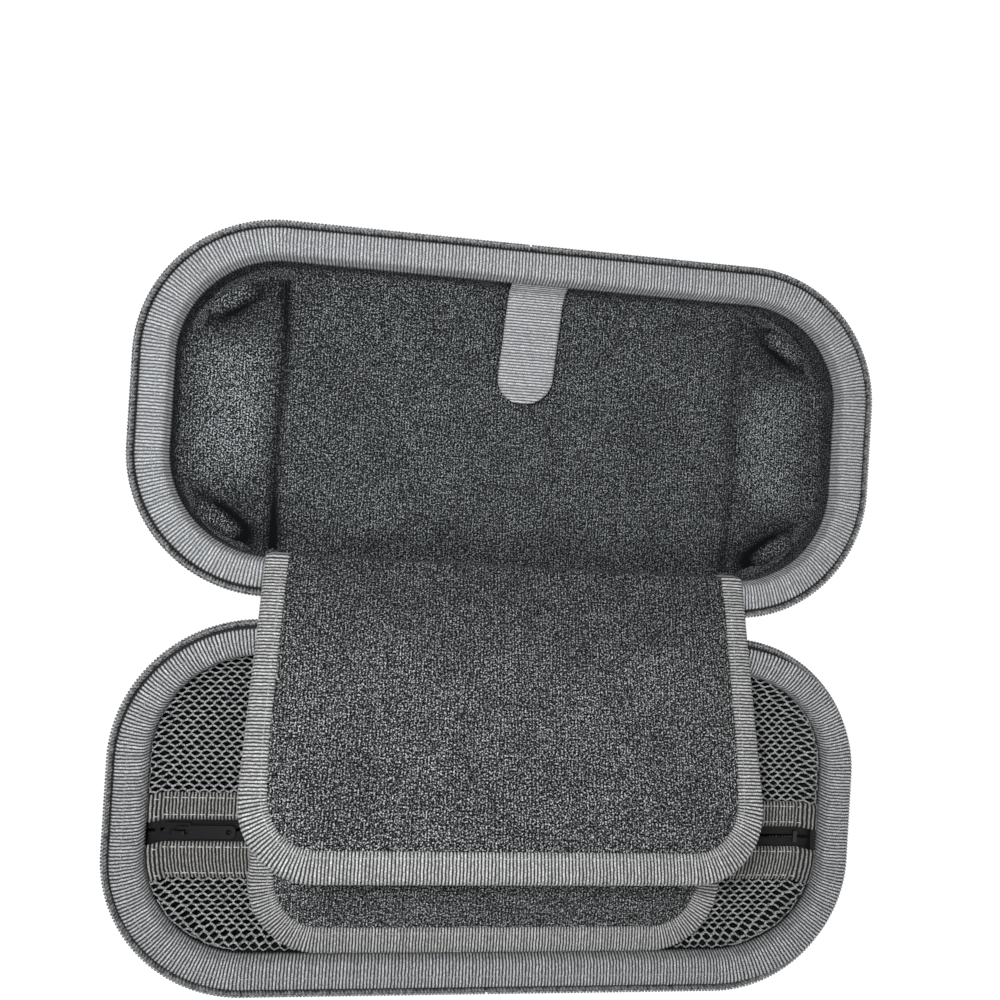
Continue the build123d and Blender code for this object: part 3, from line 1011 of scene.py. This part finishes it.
def bent_line(start, bend, end, radius, distance):
    """Point and heading at a distance along two runs that meet in a round bend, in a plane."""
    first = (bend - start).normalized()
    second = (end - bend).normalized()
    turn = first.angle_signed(second)
    tangent = radius * math.tan(abs(turn) / 2)
    before = (bend - start).length - tangent
    arc = radius * abs(turn)
    if distance <= before:
        return start + first * distance, first
    if distance >= before + arc:
        return bend + second * (tangent + distance - before - arc), second
    share = (distance - before) / arc
    spin = Matrix.Rotation(-turn * share, 2)
    heading = spin @ first
    side = Vector((first.y, -first.x)) * math.copysign(1.0, turn)
    centre = start + first * before + side * radius
    return centre - spin @ side * radius, heading


def lift_tab(half, material):
    """Elastic tape with a round end, hung from under the front binding and lying over the bed."""
    low, high = mm_box("lift_tab")
    half_width = (high.x - low.x) / 2
    centre_x = (high.x + low.x) / 2
    root = Vector((high.y - tab_thickness / 4, high.z - tab_thickness / 4))
    end = Vector((low.y, low.z + tab_thickness / 2))
    bend = Vector((root.x - tab_bend_run, end.y + tab_bend_rise))
    length = (bend - root).length + (end - bend).length
    rows = rings_per_rib * round(length / tab_rib_pitch)
    bm, upper = sheet_grid(half_width, 0, length, tab_columns, rows)
    lay_uv(bm, lambda vert: (vert.co.y / tab_rib_pitch, vert.co.x))
    for vert in bm.verts:
        x, along, _ = vert.co
        side = 1 if vert in upper else -1
        past = min(max(along - length + tab_end_radius, 0.0), 0.998 * tab_end_radius)
        reach = half_width - tab_end_radius + math.sqrt(tab_end_radius ** 2 - past ** 2)
        edge = min((half_width - abs(x)) * reach / half_width, length - along)
        wave = math.cos(2 * math.pi * along / tab_rib_pitch)
        full = tab_edge_share + (1 - tab_edge_share) * smooth_step(0, tab_edge_run, edge)
        thick = tab_thickness / 2 * full + tab_relief * wave
        spot, heading = bent_line(root, bend, end, tab_bend_radius, along)
        spot += Vector((heading.y, -heading.x)) * (thick * side)
        vert.co = (centre_x + x * reach / half_width - tab_lean * along, spot.x, spot.y)
    face_out(bm)
    piece = make_piece(bm, "elastic_lift_tab", material, ["lift_tab"])
    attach(piece, half.name)


def hinge_cloth(material):
    """Woven strip across the gap between the halves, which bends as the lid closes."""
    low, high = mm_box("hinge_strip")
    bm, upper = sheet_grid(high.x, low.y, high.y, *strip_cells)
    lay_uv(bm, lambda vert: (vert.co.x, vert.co.y))
    for vert in bm.verts:
        vert.co.z = high.z if vert in upper else low.z
    piece = make_piece(bm, "hinge_cloth", material, ["hinge_strip"])
    gap = mm_box("lid_zip_coil")[0].y * MM
    level = (low.z + high.z) / 2 * MM
    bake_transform(piece, "base", "lid", (0, -gap, level), (0, gap, level))


def linear(code):
    """Linear colour of an sRGB hex value such as "8a8f94"."""
    parts = [int(code[k:k + 2], 16) / 255 for k in (0, 2, 4)]
    return [p / 12.92 if p <= 0.04045 else ((p + 0.055) / 1.055) ** 2.4 for p in parts] + [1.0]


def feed(material, node, inputs):
    """Sets a node's inputs to values, or links them from sockets or from nodes' first outputs."""
    for socket, value in inputs.items():
        if isinstance(value, bpy.types.Node):
            value = value.outputs[0]
        if isinstance(value, bpy.types.NodeSocket):
            material.node_tree.links.new(value, node.inputs[socket])
        else:
            node.inputs[socket].default_value = value


def add(material, kind, inputs, **settings):
    """Adds a node with its settings and its inputs."""
    node = material.node_tree.nodes.new(f"ShaderNode{kind}")
    for name, value in settings.items():
        setattr(node, name, value)
    feed(material, node, inputs)
    return node


def new_finish(name):
    """An empty material with its output, and its Principled shader."""
    material = bpy.data.materials.new(name)
    material.use_nodes = True
    return material, material.node_tree.nodes["Principled BSDF"]


def grosgrain(name, crest, groove_shade, gap):
    """Woven polyester grosgrain: round weft ribs with painted shade between them, beaded by the warp threads
    over them.

    UV counts ribs along the tape and millimetres across it. The painted shade between two ribs is as wide
    as their wave stays below gap, which lies between -1 and 1.
    """
    m, shader = new_finish(name)
    uv = add(m, "UVMap", {}, uv_map="cloth")
    drift = add(m, "TexNoise", {"Vector": uv, "Scale": 0.45, "Detail": 2.0})
    place = add(m, "SeparateXYZ", {0: uv})
    along = add(m, "Math", {0: drift, 1: 0.5, 2: place.outputs["X"]}, operation="MULTIPLY_ADD")
    turn = add(m, "Math", {0: along, 1: 2 * math.pi, 2: -0.5 * math.pi}, operation="MULTIPLY_ADD")
    wave = add(m, "Math", {0: turn}, operation="COSINE")
    # Painted shade: the dark colour between the ribs stands in for the shade there
    crown = add(m, "MapRange", {0: wave, 1: gap, 2: 0.85}, interpolation_type="SMOOTHSTEP")
    rib = add(m, "Math", {0: along}, operation="ROUND")
    chance = add(m, "TexWhiteNoise", {"W": rib}, noise_dimensions="1D")
    uneven = add(m, "MapRange", {0: chance, 3: 0.78, 4: 1.0})
    step = add(m, "Math", {0: rib, 1: 2.4}, operation="MULTIPLY")
    beat = {0: place.outputs["Y"], 1: 2 * math.pi / warp_pitch, 2: step}
    warp = add(m, "Math", beat, operation="MULTIPLY_ADD")
    thread = add(m, "Math", {0: warp}, operation="SINE")
    beads = add(m, "MapRange", {0: thread, 1: -1.0, 2: 1.0, 3: 0.7, 4: 1.0})
    spot = add(m, "TexCoord", {}).outputs["Object"]
    fuzz = add(m, "TexNoise", {"Vector": spot, "Scale": tape_fuzz / MM, "Detail": 2.0})
    tone = add(m, "MapRange", {0: fuzz, 1: 0.3, 2: 0.7, 3: 0.45, 4: 1.15})
    share = crown
    for factor in (beads, uneven, tone):
        share = add(m, "Math", {0: share, 1: factor}, operation="MULTIPLY")
    colour = add(m, "Mix", {0: share, 6: linear(groove_shade), 7: linear(crest)}, data_type="RGBA")
    bump = add(m, "Bump", {"Strength": 0.4, "Distance": 0.12 * MM, "Height": share})
    feed(m, shader, {
        "Base Color": colour.outputs[2], "Normal": bump, "Roughness": 0.72, "Sheen Weight": 0.1,
        "Sheen Roughness": 0.5,
    })
    return m


def brushed_knit(name, ground, fibre, wale):
    """Brushed polyester knit: fine columns of loops, their raised fibres catching light as speckle.

    UV is millimetres of the flat cloth, with the columns along V. The mesh attribute of painted shade
    darkens the speckle, and where it is below 0 it lightens it as painted light.
    """
    m, shader = new_finish(name)
    uv = add(m, "UVMap", {}, uv_map="cloth")
    place = add(m, "SeparateXYZ", {0: uv})
    drift = add(m, "TexNoise", {"Vector": uv, "Scale": knit_drift, "Detail": 2.0})
    lean = add(m, "Math", {0: drift, 1: 2.4, 2: place.outputs["X"]}, operation="MULTIPLY_ADD")
    turn = add(m, "Math", {0: lean, 1: 2 * math.pi / wale}, operation="MULTIPLY")
    wave = add(m, "Math", {0: turn}, operation="COSINE")
    column = add(m, "MapRange", {0: wave, 1: -1.0, 2: 0.8, 3: 0.2, 4: 1.0})
    fuzz = add(m, "TexNoise", {"Vector": uv, "Scale": knit_fuzz, "Detail": 1.6, "Roughness": 0.6})
    fibres = add(m, "MapRange", {0: fuzz, 1: 0.49, 2: 0.68}, interpolation_type="SMOOTHSTEP")
    cells = add(m, "TexVoronoi", {"Vector": uv, "Scale": knit_spark}, voronoi_dimensions="2D")
    chance = add(m, "SeparateColor", {0: cells.outputs["Color"]})
    rare = add(m, "MapRange", {0: chance, 1: 0.5, 2: 1.0, 4: 0.95})
    dot = add(m, "MapRange", {0: cells, 1: 0.42, 2: 0.08}, interpolation_type="SMOOTHSTEP")
    spark = add(m, "Math", {0: dot, 1: rare}, operation="MULTIPLY")
    lit = add(m, "Math", {0: fibres, 1: column, 2: spark}, operation="MULTIPLY_ADD")
    cloud = add(m, "TexNoise", {"Vector": uv, "Scale": knit_cloud, "Detail": 3.0})
    worn = add(m, "MapRange", {0: cloud, 1: 0.3, 2: 0.7, 3: 0.75, 4: 1.15})
    # Painted shade and painted light from the mesh attribute scale the speckle
    painted_shading = add(m, "Attribute", {}, attribute_name="painted_shading")
    painted_light_level = add(m, "Math", {0: 1.0, 1: painted_shading.outputs["Fac"]}, operation="SUBTRACT")
    shown = add(m, "Math", {0: lit, 1: worn}, operation="MULTIPLY")
    share = add(m, "Math", {0: shown, 1: painted_light_level}, operation="MULTIPLY", use_clamp=True)
    colour = add(m, "Mix", {0: share, 6: linear(ground), 7: linear(fibre)}, data_type="RGBA")
    bump = add(m, "Bump", {"Strength": 0.7, "Distance": 0.3 * MM, "Height": share})
    feed(m, shader, {
        "Base Color": colour.outputs[2], "Normal": bump, "Roughness": 0.95, "Sheen Weight": 0.04,
        "Sheen Roughness": 0.6, "Specular IOR Level": 0.1,
    })
    return m


def woven_tape(name, ground, thread, pitch):
    """Plain-woven polyester zip tape: small over-and-under squares. UV is millimetres of the tape."""
    m, shader = new_finish(name)
    uv = add(m, "UVMap", {}, uv_map="cloth")
    place = add(m, "SeparateXYZ", {0: uv})
    waves = []
    for axis in ("X", "Y"):
        turn = add(m, "Math", {0: place.outputs[axis], 1: 2 * math.pi / pitch}, operation="MULTIPLY")
        waves.append(add(m, "Math", {0: turn}, operation="SINE"))
    weave = add(m, "Math", {0: waves[0], 1: waves[1]}, operation="MULTIPLY")
    share = add(m, "MapRange", {0: weave, 1: -0.6, 2: 0.9})
    colour = add(m, "Mix", {0: share, 6: linear(ground), 7: linear(thread)}, data_type="RGBA")
    bump = add(m, "Bump", {"Strength": 0.6, "Distance": 0.1 * MM, "Height": weave})
    feed(m, shader, {"Base Color": colour.outputs[2], "Normal": bump, "Roughness": 0.8})
    return m


def nylon_coil(name, dark, light):
    """Nylon monofilament wound as a coil: smooth, dull gloss, a little paler where it is rubbed."""
    m, shader = new_finish(name)
    spot = add(m, "TexCoord", {}).outputs["Object"]
    grain = add(m, "TexNoise", {"Vector": spot, "Scale": nylon_grain / MM, "Detail": 2.0})
    share = add(m, "MapRange", {0: grain, 1: 0.35, 2: 0.7})
    colour = add(m, "Mix", {0: share, 6: linear(dark), 7: linear(light)}, data_type="RGBA")
    rough = add(m, "MapRange", {0: grain, 1: 0.3, 2: 0.7, 3: 0.35, 4: 0.5})
    feed(m, shader, {"Base Color": colour.outputs[2], "Roughness": rough, "IOR": 1.53})
    return m


def net_yarn(name, dark, light):
    """Knitted polyester net: soft strands of many filaments, streaked light and dark."""
    m, shader = new_finish(name)
    spot = add(m, "TexCoord", {}).outputs["Object"]
    streak = add(m, "TexNoise", {"Vector": spot, "Scale": yarn_streak / MM, "Detail": 3.0})
    share = add(m, "MapRange", {0: streak, 1: 0.32, 2: 0.68}, interpolation_type="SMOOTHSTEP")
    colour = add(m, "Mix", {0: share, 6: linear(dark), 7: linear(light)}, data_type="RGBA")
    bump = add(m, "Bump", {"Strength": 0.6, "Distance": 0.12 * MM, "Height": streak})
    feed(m, shader, {
        "Base Color": colour.outputs[2], "Normal": bump, "Roughness": 0.65, "Sheen Weight": 0.2,
    })
    return m


def shell_cloth(name, ground, thread, pitch):
    """Woven nylon cloth bonded over moulded foam: a fine even weave with a dull sheen.

    The weave is set flat on each of the three main directions, by the way the surface faces.
    """
    m, shader = new_finish(name)
    coords = add(m, "TexCoord", {})
    place = add(m, "SeparateXYZ", {0: coords.outputs["Object"]})
    faced = add(m, "SeparateXYZ", {0: coords.outputs["Normal"]})
    waves = {}
    for axis in ("X", "Y", "Z"):
        turn = add(m, "Math", {0: place.outputs[axis], 1: 2 * math.pi / (pitch * MM)}, operation="MULTIPLY")
        waves[axis] = add(m, "Math", {0: turn}, operation="SINE")
    total = None
    for first, second, third in (("X", "Y", "Z"), ("X", "Z", "Y"), ("Y", "Z", "X")):
        weave = add(m, "Math", {0: waves[first], 1: waves[second]}, operation="MULTIPLY")
        lean = add(m, "Math", {0: faced.outputs[third], 1: faced.outputs[third]}, operation="MULTIPLY")
        part = add(m, "Math", {0: weave, 1: lean}, operation="MULTIPLY")
        total = part if total is None else add(m, "Math", {0: total, 1: part})
    share = add(m, "MapRange", {0: total, 1: -0.8, 2: 0.9})
    colour = add(m, "Mix", {0: share, 6: linear(ground), 7: linear(thread)}, data_type="RGBA")
    bump = add(m, "Bump", {"Strength": 0.5, "Distance": 0.15 * MM, "Height": total})
    feed(m, shader, {
        "Base Color": colour.outputs[2], "Normal": bump, "Roughness": 0.7, "Sheen Weight": 0.15,
    })
    return m


def lacquered_zinc(name, colour_code):
    """Die-cast zinc under black lacquer: smooth, with a soft coat and slight unevenness."""
    m, shader = new_finish(name)
    spot = add(m, "TexCoord", {}).outputs["Object"]
    grain = add(m, "TexNoise", {"Vector": spot, "Scale": zinc_grain / MM, "Detail": 2.0})
    rough = add(m, "MapRange", {0: grain, 1: 0.3, 2: 0.7, 3: 0.28, 4: 0.42})
    bump = add(m, "Bump", {"Strength": 0.15, "Distance": 0.05 * MM, "Height": grain})
    feed(m, shader, {
        "Roughness": rough, "Normal": bump, "Base Color": linear(colour_code), "Metallic": 0.6,
        "Coat Weight": 0.4, "Coat Roughness": 0.2,
    })
    return m


def sewing_thread(name, dark, light):
    """Twisted polyester thread: fine plies with a dull sheen."""
    m, shader = new_finish(name)
    spot = add(m, "TexCoord", {}).outputs["Object"]
    plies = add(m, "TexNoise", {"Vector": spot, "Scale": thread_ply / MM, "Detail": 1.0})
    share = add(m, "MapRange", {0: plies, 1: 0.35, 2: 0.65})
    colour = add(m, "Mix", {0: share, 6: linear(dark), 7: linear(light)}, data_type="RGBA")
    feed(m, shader, {"Base Color": colour.outputs[2], "Roughness": 0.6, "Sheen Weight": 0.2})
    return m


def white_floor():
    """Plain white table: bright to the camera and in gloss, and still shaded by the case."""
    bpy.ops.mesh.primitive_plane_add(size=floor_size, location=(0, 0, 0))
    floor = bpy.context.object
    floor.name = "floor"
    m, shader = new_finish("white_table")
    feed(m, shader, {"Base Color": linear("f2f2f0"), "Roughness": 0.9})
    light = add(m, "Emission", {"Strength": floor_glow})
    path = add(m, "LightPath", {})
    rays = {0: path.outputs["Is Camera Ray"], 1: path.outputs["Is Glossy Ray"]}
    seen = add(m, "Math", rays, operation="MAXIMUM")
    share = add(m, "Math", {0: seen, 1: floor_share}, operation="MULTIPLY")
    mixed = add(m, "MixShader", {0: share, 1: shader, 2: light})
    feed(m, m.node_tree.nodes["Material Output"], {"Surface": mixed})
    floor.data.materials.append(m)


def soft_lamp(name, place, target, size, power):
    """A square soft lamp aimed at a point, in metres."""
    data = bpy.data.lights.new(name, "AREA")
    data.size = size
    data.energy = power
    lamp = bpy.data.objects.new(name, data)
    lamp.location = place
    lamp.rotation_mode = "QUATERNION"
    lamp.rotation_quaternion = (Vector(target) - Vector(place)).to_track_quat("-Z", "Y")
    bpy.context.scene.collection.objects.link(lamp)


def studio():
    """A small lamp near the lens, for the photograph's thin shadows, a wide fill and a pale surround."""
    world = bpy.data.worlds.new("surround")
    bpy.context.scene.world = world
    world.use_nodes = True
    background = world.node_tree.nodes["Background"]
    path = add(world, "LightPath", {})
    level = add(world, "MapRange", {0: path.outputs["Is Camera Ray"], 3: surround_light, 4: 1.0})
    feed(world, background, {"Color": (1, 1, 1, 1), "Strength": level})
    soft_lamp("key", key_place, lamp_target, key_size, key_power)
    soft_lamp("fill", fill_place, lamp_target, fill_size, fill_power)
    bpy.context.scene.view_settings.view_transform = "Standard"


def photo_camera():
    """The camera at the photograph's place and angle, over the lid and a little to its left."""
    data = bpy.data.cameras.new("photo_camera")
    data.sensor_width = 36.0
    data.lens = data.sensor_width * focal_pixels / frame_pixels
    data.clip_start = 0.01
    turned = Matrix.Rotation(camera_turn.length, 3, camera_turn.normalized())
    flip = Matrix.Diagonal((1, -1, -1))
    right, down, ahead = turned @ flip
    axes = Matrix((right, -down, -ahead)).transposed()
    camera = bpy.data.objects.new("photo_camera", data)
    camera.matrix_world = Matrix.Translation(camera_place * MM) @ axes.to_4x4()
    bpy.context.scene.collection.objects.link(camera)
    bpy.context.scene.camera = camera


def dress_node(name, material):
    """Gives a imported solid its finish."""
    materials = frame["nodes"][name].data.materials
    materials.clear()
    materials.append(material)


def dress_case():
    """Every piece of the case with its finish."""
    base = Half("base", -1)
    lid = Half("lid", 1)
    lid_tape = grosgrain("lid_grosgrain", "eaedef", "4e5054", -0.95)
    # Painted shade: the base's rim tape is a copy of the lid's tape, darker between its ribs
    base_tape_shaded = grosgrain("base_grosgrain_shaded", "f0f2f4", "2a2c30", -0.85)
    page_tape = grosgrain("page_grosgrain", "f2f3f2", "1a1b1d", -0.85)
    band_tape = grosgrain("pocket_grosgrain", "d2d0cc", "040405", -0.3)
    bed_knit = brushed_knit("lining_knit", "0b0d0f", "c4cacd", knit_wale)
    # Painted light: the pages' knit is the lining knit with paler fibres, for the brighter light on the
    # raised pages
    page_knit = brushed_knit("page_knit", "0b0c0e", "e2e5e7", knit_wale)
    # Painted shade: the tray's knit is a darker copy of the lining knit, for the shade under the net
    base_knit_shaded = brushed_knit("tray_knit_shaded", "070708", "3c3e40", knit_wale)
    zip_cloth = woven_tape("zip_tape_weave", "0a0b0c", "3a3c40", zip_weave)
    coil = nylon_coil("zip_nylon", "4a4b4d", "a3a4a5")
    yarn = net_yarn("net_polyester", "3a3c3f", "d0d2d3")
    elastic = grosgrain("tab_elastic", "f0f1f3", "4e5054", -0.95)
    cloth = shell_cloth("shell_woven_nylon", "0f1012", "2b2d31", shell_weave)
    metal = lacquered_zinc("black_zinc", "1b1c1e")
    thread = sewing_thread("grey_thread", "6d6f72", "b9bbbd")
    pale_thread = sewing_thread("pale_thread", "a8aaab", "f0f0ee")
    strip_cloth = woven_tape("strip_weave", "141517", "3a3c40", strip_weave)
    pocket_cloth = woven_tape("pocket_tape_weave", "030304", "17181a", zip_weave)

    rims = ((base, base_binding_section, base_tape_shaded), (lid, lid_binding_section, lid_tape))
    for half, profile, tape in rims:
        rim_binding(half, profile, tape, thread)
        rim_zip(half, zip_cloth, coil, thread)
        dress_node(f"{half.name}_shell", cloth)
        dress_node(f"{half.name}_zip_stops", coil)
    lining(base, mm_box("base_lining")[0].z + base_bed, base_knit_shaded, False)
    lining(lid, mm_box("lid_lining")[0].z + lid_bed, bed_knit, True)
    upper = Page("upper_page", "lid", page_tilt, page_tail)
    lower = Page("lower_page", "base", 0.0, 0.0)
    for page in (upper, lower):
        page_pad(page, page_knit)
        page_edging(page, page_tape, thread)

    rear = mm_box("pocket_band_rear")
    front = mm_box("pocket_band_front")
    net_panel(base, "rear", rear[1].y - net_overlap, mm_box("pocket_mesh_rear")[1].y, yarn)
    net_panel(base, "front", mm_box("pocket_mesh_front")[0].y, front[0].y + net_overlap, yarn)
    for name in ("rear", "front"):
        pocket_band(base, name, band_tape, pale_thread)
        pocket_zip(base, name, pocket_cloth, coil)
    for name in ("pocket_zip_stops", "pocket_zip_slider", "pocket_zip_pull"):
        dress_node(name, metal)
    for end in ("left", "right"):
        dress_node(f"zip_slider_{end}", metal)
        dress_node(f"zip_pull_{end}", metal)
    lift_tab(lid, elastic)
    hinge_cloth(strip_cloth)


dress_case()
white_floor()
studio()
photo_camera()
